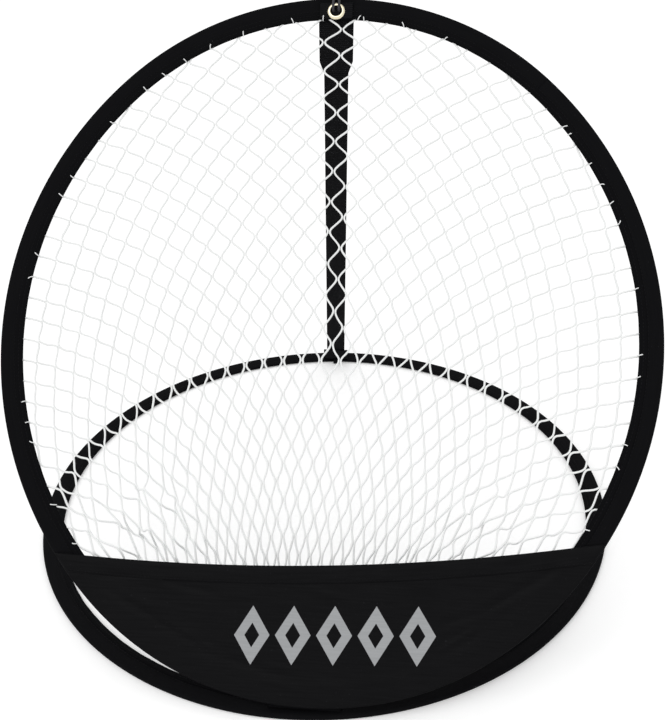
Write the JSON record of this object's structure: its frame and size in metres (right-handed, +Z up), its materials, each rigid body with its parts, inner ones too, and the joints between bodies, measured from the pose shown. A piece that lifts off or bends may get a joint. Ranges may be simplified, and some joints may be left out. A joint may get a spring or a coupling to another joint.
{
  "type": "golf chipping net",
  "caption": "Pop-up chipping target: a slack net in a sprung cloth hoop leans back over a flat ground hoop, held by a webbing strap, with a cloth apron across its foot.",
  "frame": {"origin": "centre of the ground hoop, on the floor", "axes": "+Z up; the target's open face looks towards -Y, the strap is at +Y; +X to the right as seen from the player"},
  "size_m": [0.635, 0.6348, 0.5248],
  "materials": {
    "sleeve_cloth": "matt woven polyester",
    "binding_tape": "matt folded tape",
    "spring_steel": "blued spring steel",
    "ferrule_steel": "zinc plated",
    "net_cord": "white knotless nylon",
    "apron_cloth": "coated woven polyester, slight sheen",
    "webbing": "ribbed polypropylene webbing",
    "eyelet_brass": "polished pale brass",
    "elastic_cord": "braided cover over rubber"
  },
  "bodies": {
    "base": {"ground_ring_sleeve": "sleeve_cloth", "ground_ring_binding": "binding_tape", "ground_ring_spring": "spring_steel", "ground_ring_ferrule": "ferrule_steel", "hinge_tape": "binding_tape", "rear_strap": "webbing", "strap_bottom_tab": "webbing"},
    "hoop": {"target_hoop_sleeve": "sleeve_cloth", "target_hoop_binding": "binding_tape", "target_hoop_spring": "spring_steel", "target_hoop_ferrule": "ferrule_steel", "net": "net_cord", "apron": "apron_cloth", "strap_top_tab": "webbing", "eyelet_patch": "webbing", "eyelet": "eyelet_brass", "eyelet_washer": "eyelet_brass", "closing_loop": "elastic_cord"}
  },
  "joints": [
    {"name": "hoop_fold", "type": "hinge", "parent": "base", "child": "hoop", "pos_m": [0, -0.3115, 0.00951], "axis": [-0.9986, 0.0523, 0], "range_deg": [0, 50.3], "stiffness_Nm_per_rad": 0.6, "springref_deg": -91.67, "deforming": ["net", "rear_strap", "strap_top_tab", "strap_bottom_tab", "hinge_tape"]}
  ]
}
